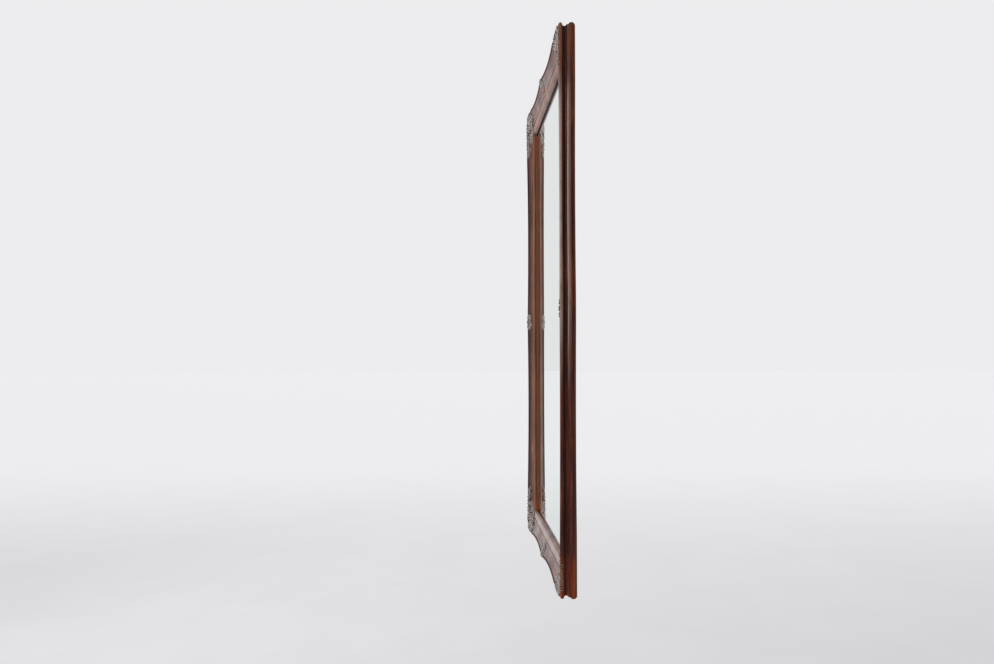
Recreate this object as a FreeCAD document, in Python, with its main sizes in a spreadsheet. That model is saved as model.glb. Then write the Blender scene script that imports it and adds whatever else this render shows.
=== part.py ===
import FreeCAD, Part
import os

# A carved hardwood wall mirror. X runs across it, +Y points to the wall, +Z is up, and the origin is
# at the middle of the whole part. A member's own frame has X along it, Y inwards from its outer edge
# and Z forwards from the wall.

os.makedirs("parts", exist_ok=True)
doc = FreeCAD.newDocument("wall_mirror")
Vec = FreeCAD.Vector

# Driving dimensions, in millimetres and counts
SIZES = {
    "frame_height": 1060,
    "frame_width": 700,
    "overall_depth": 35,
    "wall_gap": 5,
    "rim_gap": 2,
    "rim_width": 14,
    "crest_height": 33.5,
    "moulding_width": 52.5,
    "sweep_inset": 6,
    "scoop_drop": 1.3,
    "centre_drop": 0.7,
    "corner_straight": 112,
    "centre_straight": 26,
    "torus_height": 13.3,
    "torus_round": 4,
    "arris_inset": 3,
    "arris_height": 2.7,
    "cove_height": 8,
    "cove_depth": 5.5,
    "bead_inset": 3.5,
    "bead_edge": 0.6,
    "crest_inset": 4,
    "slope_width": 30,
    "slope_foot": 22.8,
    "slope_hollow": 1.4,
    "quirk_depth": 1.4,
    "quirk_width": 0.8,
    "inner_round": 2.2,
    "lip_bevel": 2,
    "lip_front": 14.2,
    "rebate_width": 8,
    "glass_thick": 3,
    "glass_play": 1.5,
    "board_thick": 3,
    "board_play": 2,
    "board_recess": 0.3,
    "button_length": 26,
    "button_width": 10,
    "button_thick": 1.5,
    "button_lift": 0.3,
    "button_from_rebate": 8.5,
    "button_pitch": 400,
    "button_hole_play": 0.08,
    "button_screw_radius": 1.6,
    "button_screw_length": 13,
    "button_head_radius": 3.3,
    "button_head_height": 1.5,
    "button_head_play": 0.1,
    "slot_width": 0.9,
    "slot_depth": 0.7,
    "hanger_height": 330,
    "hanger_inset": 26,
    "strap_width": 11,
    "strap_length": 43,
    "strap_thick": 0.9,
    "ring_wire": 1.15,
    "ring_play": 0.3,
    "ring_half_width": 10,
    "ring_leg": 4,
    "ring_bend": 3,
    "hanger_screw_first": 23,
    "hanger_screw_pitch": 13,
    "hanger_screw_radius": 1.75,
    "hanger_screw_length": 15,
    "hanger_head_radius": 3.4,
    "hanger_head_height": 1.7,
    "nail_leg": 6,
    "nail_thick": 0.6,
    "nail_height": 10,
    "nail_first": 17,
    "nail_pitch": 17,
    "nail_sink": 0.3,
    "pad_radius": 6,
    "pad_face_radius": 5,
    "pad_inset": 24,
    "corner_carving_length": 108,
    "corner_shell_radius": 12.5,
    "corner_shell_inset": 22,
    "shell_crown_drop": 3.5,
    "shell_dome_radius": 32,
    "carving_swell": 1.6,
    "carving_root": 5,
    "carving_edge": 0.3,
    "centre_carving_length": 44,
    "overrun": 3,
}

# Counts, and shares of other sizes
SCALLOP_SPANS = 4
HEAD_TOP_SHARE = 0.72
TIP_END_SHARE = 0.15
TIP_SHARE = 0.3
LOBE_BULGE_SHARE = 0.24
TAIL_RISE_SHARE = 0.25
CENTRE_RISE_SHARE = 0.7
# Cusps of an arm's leaf from the mitre out to its tip and back: share of the length, share across
LEAF_SHARES = (
    (0.28, 0.02),
    (0.48, 0.05),
    (0.68, 0.13),
    (0.85, 0.25),
    (1.00, 0.44),
    (0.86, 0.62),
    (0.68, 0.76),
    (0.50, 0.90),
)
# Cusps of the corner's shell: degrees from the mitre line, share of its radius
SHELL_SHARES = (
    (-100, 0.55),
    (-72, 0.92),
    (-36, 1.0),
    (0, 1.04),
    (36, 1.0),
    (72, 0.92),
    (100, 0.55),
    (180, 0.45),
)
# Cusps of a middle ornament, round its outline: share of its length, share across
CENTRE_SHARES = (
    (0.50, 0.42),
    (0.30, 0.12),
    (0.11, 0.00),
    (-0.11, 0.00),
    (-0.30, 0.12),
    (-0.50, 0.42),
    (-0.28, 0.66),
    (-0.10, 0.92),
    (0.10, 0.92),
    (0.28, 0.66),
)

sheet = doc.addObject("Spreadsheet::Sheet", "Sizes")
for row, (alias, value) in enumerate(SIZES.items(), start=1):
    sheet.set(f"A{row}", alias)
    sheet.set(f"B{row}", str(value))
    sheet.setAlias(f"B{row}", alias)
doc.recompute()


def size(alias):
    return float(getattr(sheet, alias))


def bind(feature, **sizes):
    """Tie each property of a feature to an expression on the sheet of sizes."""
    for prop, expression in sizes.items():
        feature.setExpression(prop, expression)
    return feature


def primitive(kind, name, place, **sizes):
    feature = doc.addObject(kind, name)
    bind(feature, **sizes)
    feature.Placement = place
    return feature


def cut(name, base, tool):
    feature = doc.addObject("Part::Cut", name)
    feature.Base = base
    feature.Tool = tool
    return feature


def gather(kind, name, pieces):
    """A fusion or common of several pieces, or a compound that keeps them apart."""
    feature = doc.addObject(kind, name)
    if kind == "Part::Compound":
        feature.Links = pieces
    else:
        feature.Shapes = pieces
    return feature


# Frames of the four members and of what sits on their backs
half_width = size("frame_width") / 2
half_height = size("frame_height") / 2
wall = size("overall_depth") / 2
ACROSS, UP, TO_WALL = Vec(1, 0, 0), Vec(0, 0, 1), Vec(0, 1, 0)


def frame_at(origin, x_axis, y_axis, z_axis):
    return FreeCAD.Placement(origin, FreeCAD.Rotation(x_axis, y_axis, z_axis, "ZXY"))


MEMBERS = {
    "top_rail": (frame_at(Vec(0, wall, half_height), -ACROSS, -UP, -TO_WALL), "frame_width"),
    "bottom_rail": (frame_at(Vec(0, wall, -half_height), ACROSS, UP, -TO_WALL), "frame_width"),
    "left_stile": (frame_at(Vec(-half_width, wall, 0), -UP, ACROSS, -TO_WALL), "frame_height"),
    "right_stile": (frame_at(Vec(half_width, wall, 0), UP, -ACROSS, -TO_WALL), "frame_height"),
}


def within(place, x, y, z, turned=FreeCAD.Rotation()):
    """A place given in the frame of another place."""
    return place * FreeCAD.Placement(Vec(x, y, z), turned)


def on_member(member, along, inwards, forwards, turned=FreeCAD.Rotation()):
    return within(MEMBERS[member][0], along, inwards, forwards, turned)


def on_back(member, along, inwards, forwards=None):
    """A place on a member's back: its X points inwards and its Z to the wall."""
    facing_wall = FreeCAD.Rotation(Vec(0, 1, 0), Vec(1, 0, 0), Vec(0, 0, -1), "ZXY")
    if forwards is None:
        forwards = size("wall_gap")
    return on_member(member, along, inwards, forwards, facing_wall)


# The moulding's section, which slides inwards and sinks along each scallop
def moulding_section(along, inset, drop):
    back = size("rim_gap")
    torus_top = back + size("torus_height")
    arris_top = torus_top + size("arris_height")
    cove_top = arris_top + size("cove_height")
    crest = size("crest_height")
    low = back - size("overrun")
    shrink = drop / (crest - arris_top)

    def outer(inwards, forwards):
        sunk = max(0, forwards - arris_top) * shrink
        return Vec(along, inwards + inset, forwards - sunk)

    def inner(inwards, forwards):
        return Vec(along, inwards, forwards)

    def bulge(start, end, rise):
        chord = end - start
        side = Vec(0, -chord.z, chord.y).normalize()
        return Part.Arc(start, (start + end) / 2 + side * rise, end).toShape()

    torus_foot = outer(size("torus_round"), back)
    torus_head = outer(size("arris_inset"), torus_top)
    cove_foot = outer(size("arris_inset"), arris_top)
    cove_head = outer(size("bead_inset"), cove_top)
    crest_point = outer(size("crest_inset"), crest)
    slope_end = size("crest_inset") + size("slope_width")
    foot = inner(slope_end, size("slope_foot"))
    quirk = inner(slope_end + size("quirk_width"), size("slope_foot") - size("quirk_depth"))
    lip_top = inner(size("moulding_width") - size("lip_bevel"), size("lip_front") + size("lip_bevel"))
    lip_edge = inner(size("moulding_width"), size("lip_front"))
    past_sight = size("moulding_width") + size("overrun")
    lip_run = inner(past_sight, size("lip_front"))
    inner_back = inner(past_sight, size("wall_gap"))
    rim_inside = inner(size("rim_width"), size("wall_gap"))
    rim_low = inner(size("rim_width"), low)
    outer_low = outer(size("torus_round"), low)
    middle_of_torus = outer(0, (back + torus_top) / 2)
    middle_of_cove = outer(size("cove_depth"), (arris_top + cove_top) / 2)
    middle_of_bead = outer(size("bead_edge"), (cove_top + crest) / 2)
    edges = [
        Part.makeLine(outer_low, torus_foot),
        Part.Arc(torus_foot, middle_of_torus, torus_head).toShape(),
        Part.makeLine(torus_head, cove_foot),
        Part.Arc(cove_foot, middle_of_cove, cove_head).toShape(),
        Part.Arc(cove_head, middle_of_bead, crest_point).toShape(),
        bulge(crest_point, foot, -size("slope_hollow")),
        Part.makeLine(foot, quirk),
        bulge(quirk, lip_top, size("inner_round")),
        Part.makeLine(lip_top, lip_edge),
        Part.makeLine(lip_edge, lip_run),
        Part.makeLine(lip_run, inner_back),
        Part.makeLine(inner_back, rim_inside),
        Part.makeLine(rim_inside, rim_low),
        Part.makeLine(rim_low, outer_low),
    ]
    return Part.Wire(edges)


def run_between(start, end):
    """Straight moulding between two places along a member, given as (along, inset, drop)."""
    return Part.makeLoft([moulding_section(*start), moulding_section(*end)], True, True)


def scallop(start, end, side):
    """One swept stretch between two straights, with an inset that rises and falls again."""
    sections = []
    for step in range(SCALLOP_SPANS + 1):
        share = step / SCALLOP_SPANS
        arch = 1 - (2 * share - 1) ** 2
        along = side * (start + (end - start) * share)
        drop = size("centre_drop") * share + size("scoop_drop") * arch
        sections.append(moulding_section(along, size("sweep_inset") * arch, drop))
    return Part.makeLoft(sections, True, False)


def swept_moulding(length):
    """Unmitred moulding: straight at both ends and in the middle, with a scallop between."""
    end = length / 2 + size("overrun")
    corner = length / 2 - size("corner_straight")
    middle = size("centre_straight")
    lowered = size("centre_drop")
    pieces = [run_between((-middle, 0, lowered), (middle, 0, lowered))]
    for side in (-1, 1):
        pieces.append(run_between((side * corner, 0, 0), (side * end, 0, 0)))
        pieces.append(scallop(corner, middle, side))
    whole = pieces[0].fuse(pieces[1:])
    return whole.Solids[0]


def mitred_member(name):
    """One member of the frame, before its screws and nails are driven in."""
    place, length = MEMBERS[name]
    blank = doc.addObject("Part::Feature", name + "_moulding")
    blank.Shape = swept_moulding(size(length))
    blank.Placement = place
    mitres = primitive(
        "Part::Wedge", name + "_mitres", place,
        Xmin=f"-Sizes.{length} / 2 - Sizes.overrun",
        Xmax=f"Sizes.{length} / 2 + Sizes.overrun",
        Ymin="-Sizes.overrun",
        Ymax="Sizes.moulding_width",
        Zmin="Sizes.rim_gap",
        Zmax="Sizes.overall_depth",
        X2min=f"-Sizes.{length} / 2 + Sizes.moulding_width",
        X2max=f"Sizes.{length} / 2 - Sizes.moulding_width",
        Z2min="Sizes.rim_gap",
        Z2max="Sizes.overall_depth",
    )
    mitred = gather("Part::MultiCommon", name + "_mitred", [blank, mitres])
    ledge = size("moulding_width") - size("rebate_width")
    reach = size(length) / 2 - ledge
    rebate = primitive(
        "Part::Box", name + "_rebate", on_member(name, -reach, ledge, 0),
        Length=f"Sizes.{length} - 2 * (Sizes.moulding_width - Sizes.rebate_width)",
        Width="Sizes.rebate_width + Sizes.overrun",
        Height="Sizes.wall_gap + Sizes.board_recess + Sizes.board_thick + Sizes.glass_thick",
    )
    return cut(name + "_rebated", mitred, rebate)


# Glass and board, both in the rebate
def sheet_in_rebate(name, thick, play, behind):
    width = f"Sizes.frame_width - 2 * (Sizes.moulding_width - Sizes.rebate_width + Sizes.{play})"
    height = f"Sizes.frame_height - 2 * (Sizes.moulding_width - Sizes.rebate_width + Sizes.{play})"
    edge = size("moulding_width") - size("rebate_width") + size(play)
    front = wall - behind - size(thick)
    corner = FreeCAD.Placement(Vec(edge - half_width, front, edge - half_height), FreeCAD.Rotation())
    return primitive("Part::Box", name, corner, Length=width, Width=f"Sizes.{thick}", Height=height)


# Round-head screws: Z points out of the head, and the origin is under the head
def wood_screw(name, place, kind):
    head = primitive(
        "Part::Cone", name + "_head", place,
        Radius1=f"Sizes.{kind}_head_radius",
        Radius2=f"Sizes.{kind}_head_radius * {HEAD_TOP_SHARE}",
        Height=f"Sizes.{kind}_head_height",
    )
    tip_start = -size(f"{kind}_screw_length")
    tip = primitive(
        "Part::Cone", name + "_tip", within(place, 0, 0, tip_start),
        Radius1=f"Sizes.{kind}_screw_radius * {TIP_END_SHARE}",
        Radius2=f"Sizes.{kind}_screw_radius",
        Height=f"Sizes.{kind}_screw_length * {TIP_SHARE}",
    )
    shank_start = tip_start * (1 - TIP_SHARE)
    shank = primitive(
        "Part::Cylinder", name + "_shank", within(place, 0, 0, shank_start),
        Radius=f"Sizes.{kind}_screw_radius",
        Height=f"Sizes.{kind}_screw_length * (1 - {TIP_SHARE})",
    )
    slot_floor = size(f"{kind}_head_height") - size("slot_depth")
    slot = primitive(
        "Part::Box", name + "_slot",
        within(place, -size(f"{kind}_head_radius"), -size("slot_width") / 2, slot_floor),
        Length=f"2 * Sizes.{kind}_head_radius",
        Width="Sizes.slot_width",
        Height="Sizes.slot_depth + Sizes.overrun",
    )
    body = gather("Part::MultiFuse", name + "_body", [head, tip, shank])
    return cut(name, body, slot)


# Turn buttons: flat brass strips with round ends, each turning about its screw
def button_places():
    """The pivots, three on each stile, as (member, along)."""
    pitch = size("button_pitch")
    return [
        ("right_stile", pitch),
        ("right_stile", 0),
        ("right_stile", -pitch),
        ("left_stile", pitch),
        ("left_stile", 0),
        ("left_stile", -pitch),
    ]


def turn_button(name, place):
    radius = "Sizes.button_width / 2"
    nose = size("button_length") - size("button_width")
    thick = "Sizes.button_thick"
    bar = primitive(
        "Part::Box", name + "_bar", within(place, 0, -size("button_width") / 2, 0),
        Length="Sizes.button_length - Sizes.button_width",
        Width="Sizes.button_width",
        Height=thick,
    )
    heel = primitive("Part::Cylinder", name + "_heel", place, Radius=radius, Height=thick)
    toe = primitive(
        "Part::Cylinder", name + "_toe", within(place, nose, 0, 0),
        Radius=radius,
        Height=thick,
    )
    hole = primitive(
        "Part::Cylinder", name + "_hole", within(place, 0, 0, -size("overrun")),
        Radius="Sizes.button_screw_radius + Sizes.button_hole_play",
        Height="Sizes.button_thick + 2 * Sizes.overrun",
    )
    return cut(name, gather("Part::MultiFuse", name + "_blank", [bar, heel, toe]), hole)


# Strap hangers: Z to the wall, Y towards the ring's end of the strap
def hanger_places():
    inset = size("hanger_inset")
    height = size("hanger_height")
    facing_wall = FreeCAD.Rotation(Vec(-1, 0, 0), Vec(0, 0, 1), Vec(0, 1, 0), "ZXY")
    back = wall - size("wall_gap")
    return {
        "left": FreeCAD.Placement(Vec(inset - half_width, back, height), facing_wall),
        "right": FreeCAD.Placement(Vec(half_width - inset, back, height), facing_wall),
    }


LAID_ACROSS = FreeCAD.Rotation(Vec(0, 1, 0), 90)
LAID_DOWN = FreeCAD.Rotation(Vec(1, 0, 0), 90)


def hanger_screw_places(place):
    first = -size("hanger_screw_first")
    second = first - size("hanger_screw_pitch")
    return [within(place, 0, spot, size("strap_thick")) for spot in (first, second)]


def curl_centre():
    return size("strap_thick") + size("ring_wire") + size("ring_play")


def hanger_strap(name, place, screws):
    """A flat leaf with a closed curl at its upper end, which holds the ring."""
    half = size("strap_width") / 2
    leaf_run = size("strap_length") - half
    leaf = primitive(
        "Part::Box", name + "_leaf", within(place, -half, -leaf_run, 0),
        Length="Sizes.strap_width",
        Width="Sizes.strap_length - Sizes.strap_width / 2",
        Height="Sizes.strap_thick",
    )
    end = primitive(
        "Part::Cylinder", name + "_end", within(place, 0, -leaf_run, 0),
        Radius="Sizes.strap_width / 2", Height="Sizes.strap_thick",
    )
    curl = primitive(
        "Part::Cylinder", name + "_curl", within(place, -half, 0, curl_centre(), LAID_ACROSS),
        Radius="Sizes.strap_thick + Sizes.ring_wire + Sizes.ring_play", Height="Sizes.strap_width",
    )
    bore = primitive(
        "Part::Cylinder", name + "_bore",
        within(place, -half - size("overrun"), 0, curl_centre(), LAID_ACROSS),
        Radius="Sizes.ring_wire + Sizes.ring_play",
        Height="Sizes.strap_width + 2 * Sizes.overrun",
    )
    solid = gather("Part::MultiFuse", name + "_blank", [leaf, end, curl])
    return cut(name, solid, gather("Part::Compound", name + "_holes", [bore] + screws))


def hanger_ring(name, place):
    """A D-shaped wire ring: a bar through the curl, two bends, two legs and a half circle."""
    reach = size("ring_half_width")
    bend = size("ring_bend")
    centre = within(place, 0, 0, curl_centre())
    wire = "Sizes.ring_wire"
    leg = "Sizes.ring_leg"
    bar = primitive(
        "Part::Cylinder", name + "_bar", within(centre, bend - reach, 0, 0, LAID_ACROSS),
        Radius=wire, Height="2 * (Sizes.ring_half_width - Sizes.ring_bend)",
    )
    pieces = [bar]
    for side, first_angle in ((1, 0), (-1, 90)):
        corner = primitive(
            "Part::Torus", name + f"_bend_{first_angle}",
            within(centre, side * (reach - bend), -bend, 0, FreeCAD.Rotation(Vec(0, 0, 1), first_angle)),
            Radius1="Sizes.ring_bend", Radius2=wire,
        )
        corner.Angle3 = 90
        straight = primitive(
            "Part::Cylinder", name + f"_leg_{first_angle}",
            within(centre, side * reach, -bend, 0, LAID_DOWN),
            Radius=wire, Height=leg,
        )
        pieces += [corner, straight]
    bow = primitive(
        "Part::Torus", name + "_bow",
        within(centre, 0, -bend - size("ring_leg"), 0, FreeCAD.Rotation(Vec(0, 0, 1), 180)),
        Radius1="Sizes.ring_half_width", Radius2=wire,
    )
    bow.Angle3 = 180
    return gather("Part::MultiFuse", name, pieces + [bow])


# V-nails across the backs of the mitres
def v_nail(name, corner, turn, distance):
    """One folded strip, its fold on the mitre line and its wings in the two members."""
    leg = size("nail_leg")
    thick = size("nail_thick")
    fold = [
        Vec(-thick, 0, 0),
        Vec(leg - thick, leg, 0),
        Vec(leg, leg - thick, 0),
        Vec(thick, 0, 0),
        Vec(leg, thick - leg, 0),
        Vec(leg - thick, -leg, 0),
    ]
    face = Part.Face(Part.makePolygon(fold + fold[:1]))
    nail = doc.addObject("Part::Feature", name)
    nail.Shape = face.extrude(Vec(0, 0, size("nail_height")))
    flat = frame_at(corner, ACROSS, UP, -TO_WALL)
    along_mitre = within(flat, 0, 0, 0, FreeCAD.Rotation(Vec(0, 0, 1), turn))
    nail.Placement = within(along_mitre, distance, 0, size("wall_gap") + size("nail_sink"))
    return nail


def mitre_nails():
    nails = []
    corners = ((-1, -1, 45), (1, -1, 135), (1, 1, 225), (-1, 1, 315))
    for number, (x_side, z_side, turn) in enumerate(corners, start=1):
        corner = Vec(x_side * half_width, wall, z_side * half_height)
        for row in (0, 1):
            distance = (size("nail_first") + row * size("nail_pitch")) * 2 ** 0.5
            nails.append(v_nail(f"v_nail_{number}_{row}", corner, turn, distance))
    return gather("Part::Compound", "mitre_v_nails", nails)


# Carvings: a lobed plan outline cut from a rounded relief that lies on the moulding
def at_share(across):
    """Distance in from the outer edge, for a share of the width from the crest to the quirk."""
    return size("crest_inset") + across * size("slope_width")


def relief_section(along, share, lowered):
    """Section of the relief over the crest and the slope. Its share of the full rise is given."""
    crest = size("crest_height") - lowered
    foot = size("slope_foot")
    inset = size("crest_inset")
    root = crest - size("carving_root")
    edge = Vec(along, size("carving_edge"), crest - inset / 2 * share)
    top = Vec(along, inset, crest + (size("overall_depth") - size("crest_height")) * share)
    bottom = Vec(along, inset + size("slope_width"), foot)
    middle = (top + bottom) / 2 + Vec(0, 0, size("carving_swell") * share)
    under = Vec(along, bottom.y, foot - size("carving_root"))
    outer_under = Vec(along, size("carving_edge"), root)
    return Part.Wire([
        Part.makeLine(edge, top),
        Part.Arc(top, middle, bottom).toShape(),
        Part.makeLine(bottom, under),
        Part.makeLine(under, outer_under),
        Part.makeLine(outer_under, edge),
    ])


def lobed_prism(points, straight_sides=0):
    """Upright prism whose sides are outward lobes, but for the last few, which are straight."""
    pairs = list(zip(points, points[1:] + points[:1]))
    area = sum(start.x * finish.y - start.y * finish.x for start, finish in pairs)
    outwards = LOBE_BULGE_SHARE if area > 0 else -LOBE_BULGE_SHARE
    root = size("slope_foot") - size("carving_root")
    edges = []
    for number, (start, finish) in enumerate(pairs):
        if number >= len(points) - straight_sides:
            edges.append(Part.makeLine(start, finish))
            continue
        chord = finish - start
        middle = (start + finish) / 2 + Vec(chord.y, -chord.x, 0) * outwards
        edges.append(Part.Arc(start, middle, finish).toShape())
    face = Part.Face(Part.Wire(edges))
    face.translate(Vec(0, 0, root))
    return face.extrude(Vec(0, 0, size("overall_depth") + size("overrun") - root))


def raw(name, shape, place):
    feature = doc.addObject("Part::Feature", name)
    feature.Shape = shape
    feature.Placement = place
    return feature


def leaf_arm(name, member, end):
    """The leaf on one arm of a corner, mitred to the other arm's."""
    place, length = MEMBERS[member]
    corner = size(length) / 2
    reach = size("corner_carving_length")
    slab = Part.makeLoft([
        relief_section(end * corner, 1, 0),
        relief_section(end * (corner - reach - size("overrun")), TAIL_RISE_SHARE, 0),
    ], True, True)
    inner = at_share(1)
    outer = size("carving_edge")
    points = [Vec(end * (corner - outer), outer, 0)]
    for along, across in LEAF_SHARES:
        points.append(Vec(end * (corner - along * reach), at_share(across), 0))
    points.append(Vec(end * (corner - inner), inner, 0))
    pieces = [raw(name + "_slab", slab, place), raw(name + "_outline", lobed_prism(points, 1), place)]
    return gather("Part::MultiCommon", name, pieces)


def corner_shell(name, member, end):
    """A lobed shell with a domed top over the mitre."""
    place, length = MEMBERS[member]
    inset = size("corner_shell_inset")
    radius = size("corner_shell_radius")
    centre = Vec(end * (size(length) / 2 - inset), inset, 0)
    points = []
    for turn, share in SHELL_SHARES:
        spoke = FreeCAD.Rotation(Vec(0, 0, 1), turn).multVec(Vec(1, -1, 0).normalize()) * radius * share
        points.append(centre + Vec(end * spoke.x, spoke.y, 0))
    crown = size("overall_depth") - size("shell_crown_drop")
    dome_radius = size("shell_dome_radius")
    dome = Part.makeSphere(dome_radius, centre + Vec(0, 0, crown - dome_radius))
    pieces = [raw(name + "_dome", dome, place), raw(name + "_outline", lobed_prism(points), place)]
    return gather("Part::MultiCommon", name, pieces)


def corner_carving(name, horizontal, vertical):
    """A shell over the mitre with a leaf down each arm. The signs give the ends of the members."""
    pieces = [leaf_arm(name + "_across", *horizontal), leaf_arm(name + "_upright", *vertical)]
    pieces.append(corner_shell(name + "_shell", *horizontal))
    return gather("Part::MultiFuse", name + "_whole", pieces)


def centre_carving(name, member):
    place = MEMBERS[member][0]
    length = size("centre_carving_length")
    lowered = size("centre_drop")
    ends = [relief_section(side * length, CENTRE_RISE_SHARE, lowered) for side in (-1, 1)]
    points = [Vec(along * length, at_share(across), 0) for along, across in CENTRE_SHARES]
    pieces = [
        raw(name + "_slab", Part.makeLoft(ends, True, True), place),
        raw(name + "_outline", lobed_prism(points), place),
    ]
    return gather("Part::MultiCommon", name + "_whole", pieces)


# Rubber pads behind the lower corners
def bumper(name, side):
    inset = size("pad_inset")
    spot = on_back("bottom_rail", side * (half_width - inset), inset)
    return primitive(
        "Part::Cone", name, spot,
        Radius1="Sizes.pad_radius", Radius2="Sizes.pad_face_radius", Height="Sizes.wall_gap",
    )


# The whole mirror
nodes = []
members = {name: mitred_member(name) for name in MEMBERS}

pivot_inset = size("moulding_width") - size("rebate_width") - size("button_from_rebate")
button_screws = []
for number, (member, along) in enumerate(button_places(), start=1):
    under = size("wall_gap") - size("button_lift")
    nodes.append(turn_button(f"turn_button_{number}", on_back(member, along, pivot_inset, under)))
    under_head = under - size("button_thick") - size("button_head_play")
    seat = on_back(member, along, pivot_inset, under_head)
    button_screws.append(wood_screw(f"button_screw_{number}", seat, "button"))
nodes.append(gather("Part::Compound", "turn_button_screws", button_screws))

hanger_screws = []
for side, place in hanger_places().items():
    screws = [
        wood_screw(f"hanger_screw_{side}_{number}", seat, "hanger")
        for number, seat in enumerate(hanger_screw_places(place), start=1)
    ]
    hanger_screws += screws
    nodes.append(hanger_strap(f"hanger_strap_{side}", place, screws))
    nodes.append(hanger_ring(f"hanger_ring_{side}", place))
nodes.append(gather("Part::Compound", "hanger_screws", hanger_screws))
nails = mitre_nails()
nodes.append(nails)
nodes.append(bumper("bumper_left", -1))
nodes.append(bumper("bumper_right", 1))

glass_back = size("wall_gap") + size("board_recess") + size("board_thick")
board_back = size("wall_gap") + size("board_recess")
nodes.append(sheet_in_rebate("mirror_glass", "glass_thick", "glass_play", glass_back))
nodes.append(sheet_in_rebate("backing_board", "board_thick", "board_play", board_back))

driven = gather("Part::Compound", "driven_fasteners", button_screws + hanger_screws + [nails])
for name, blank in members.items():
    nodes.append(cut(name, blank, driven))

frame = gather("Part::Compound", "frame_members", list(members.values()))
CORNERS = {
    "corner_carving_top_left": (("top_rail", 1), ("left_stile", -1)),
    "corner_carving_top_right": (("top_rail", -1), ("right_stile", 1)),
    "corner_carving_bottom_left": (("bottom_rail", -1), ("left_stile", 1)),
    "corner_carving_bottom_right": (("bottom_rail", 1), ("right_stile", -1)),
}
for name, (horizontal, vertical) in CORNERS.items():
    nodes.append(cut(name, corner_carving(name, horizontal, vertical), frame))
MIDDLES = {"top": "top_rail", "bottom": "bottom_rail", "left": "left_stile", "right": "right_stile"}
for name, member in MIDDLES.items():
    label = "centre_carving_" + name
    nodes.append(cut(label, centre_carving(label, member), frame))

doc.recompute()

# Every object must be sound, and every node one or more whole solids
for feature in doc.Objects:
    if "Invalid" in feature.State or "Error" in feature.State:
        raise RuntimeError(f"{feature.Name} failed: {feature.State}")
for node in nodes:
    node.Label = node.Name
    if node.Shape.isNull() or not node.Shape.isValid() or not node.Shape.Solids:
        raise RuntimeError(f"{node.Label} has no sound shape")
for node in nodes:
    node.Shape.exportStep(f"parts/{node.Label}.step")
print(len(nodes), "nodes written")
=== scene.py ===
import math

import bpy
from bpy.props import FloatProperty, FloatVectorProperty, IntProperty, PointerProperty
from mathutils import Matrix, Vector


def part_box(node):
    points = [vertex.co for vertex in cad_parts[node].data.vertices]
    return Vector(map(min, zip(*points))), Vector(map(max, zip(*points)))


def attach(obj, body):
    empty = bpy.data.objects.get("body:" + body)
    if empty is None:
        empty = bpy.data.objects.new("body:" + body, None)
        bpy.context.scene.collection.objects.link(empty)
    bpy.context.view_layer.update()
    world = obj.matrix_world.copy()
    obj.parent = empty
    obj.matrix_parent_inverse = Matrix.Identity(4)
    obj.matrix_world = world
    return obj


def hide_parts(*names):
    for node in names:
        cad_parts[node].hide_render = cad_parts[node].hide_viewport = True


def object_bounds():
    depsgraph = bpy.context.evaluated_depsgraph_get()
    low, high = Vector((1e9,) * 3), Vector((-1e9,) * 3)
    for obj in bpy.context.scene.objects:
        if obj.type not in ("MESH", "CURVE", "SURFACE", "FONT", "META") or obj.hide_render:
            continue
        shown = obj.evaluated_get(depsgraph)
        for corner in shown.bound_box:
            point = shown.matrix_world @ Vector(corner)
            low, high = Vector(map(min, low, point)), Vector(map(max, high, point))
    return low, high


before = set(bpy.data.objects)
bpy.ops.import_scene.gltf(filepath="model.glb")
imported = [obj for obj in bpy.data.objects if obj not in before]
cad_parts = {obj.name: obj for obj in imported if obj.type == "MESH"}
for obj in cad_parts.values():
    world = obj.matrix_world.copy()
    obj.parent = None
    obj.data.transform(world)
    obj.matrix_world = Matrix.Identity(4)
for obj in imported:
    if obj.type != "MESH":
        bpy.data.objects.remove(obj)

CAD_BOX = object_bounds()

bl_info = {
    "name": "Carved Wall Mirror",
    "version": (1, 0, 0),
    "blender": (4, 5, 0),
    "location": "View3D > Sidebar > Wall Mirror",
    "description": "Dresses a carved and polished hardwood wall mirror, piece by piece",
    "category": "Mesh",
}

MM = 0.001
SIDES = ("left", "right")
BUTTONS = range(1, 7)


# Colours and nodes
def linear(code):
    """An sRGB hex colour turned into linear red, green and blue."""
    parts = [int(code[place:place + 2], 16) / 255 for place in (1, 3, 5)]
    return tuple(part / 12.92 if part <= 0.04045 else ((part + 0.055) / 1.055) ** 2.4 for part in parts)


def opaque(colour):
    return (*colour, 1.0)


def in_use(sockets, key):
    """The socket with this number, or the first one in use that has this name."""
    if isinstance(key, int):
        return sockets[key]
    return next(socket for socket in sockets if socket.name == key and socket.enabled)


def add_node(tree, kind, settings=None, links=None, **options):
    """Adds a node with its options, socket settings and links. A link from a node takes its first output."""
    node = tree.nodes.new("ShaderNode" + kind)
    for name, value in options.items():
        setattr(node, name, value)
    for key, value in (settings or {}).items():
        in_use(node.inputs, key).default_value = value
    for key, source in (links or {}).items():
        if isinstance(source, bpy.types.Node):
            source = next(socket for socket in source.outputs if socket.enabled)
        tree.links.new(source, in_use(node.inputs, key))
    return node


def new_material(name):
    """An empty material, its node tree and its place on the object."""
    material = bpy.data.materials.new(name)
    material.use_nodes = True
    tree = material.node_tree
    tree.nodes.clear()
    return material, tree, add_node(tree, "TexCoord").outputs["Object"]


def finish_surface(tree, settings, links):
    """The shader and the output. Values that are the same all over sit on the shader's own sockets."""
    shader = add_node(tree, "BsdfPrincipled", settings, links)
    add_node(tree, "OutputMaterial", links={"Surface": shader})


# Sizes and colours that a user would change
def length_setting(name, description, default):
    return FloatProperty(name=name, description=description, default=default, unit="LENGTH")


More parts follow.
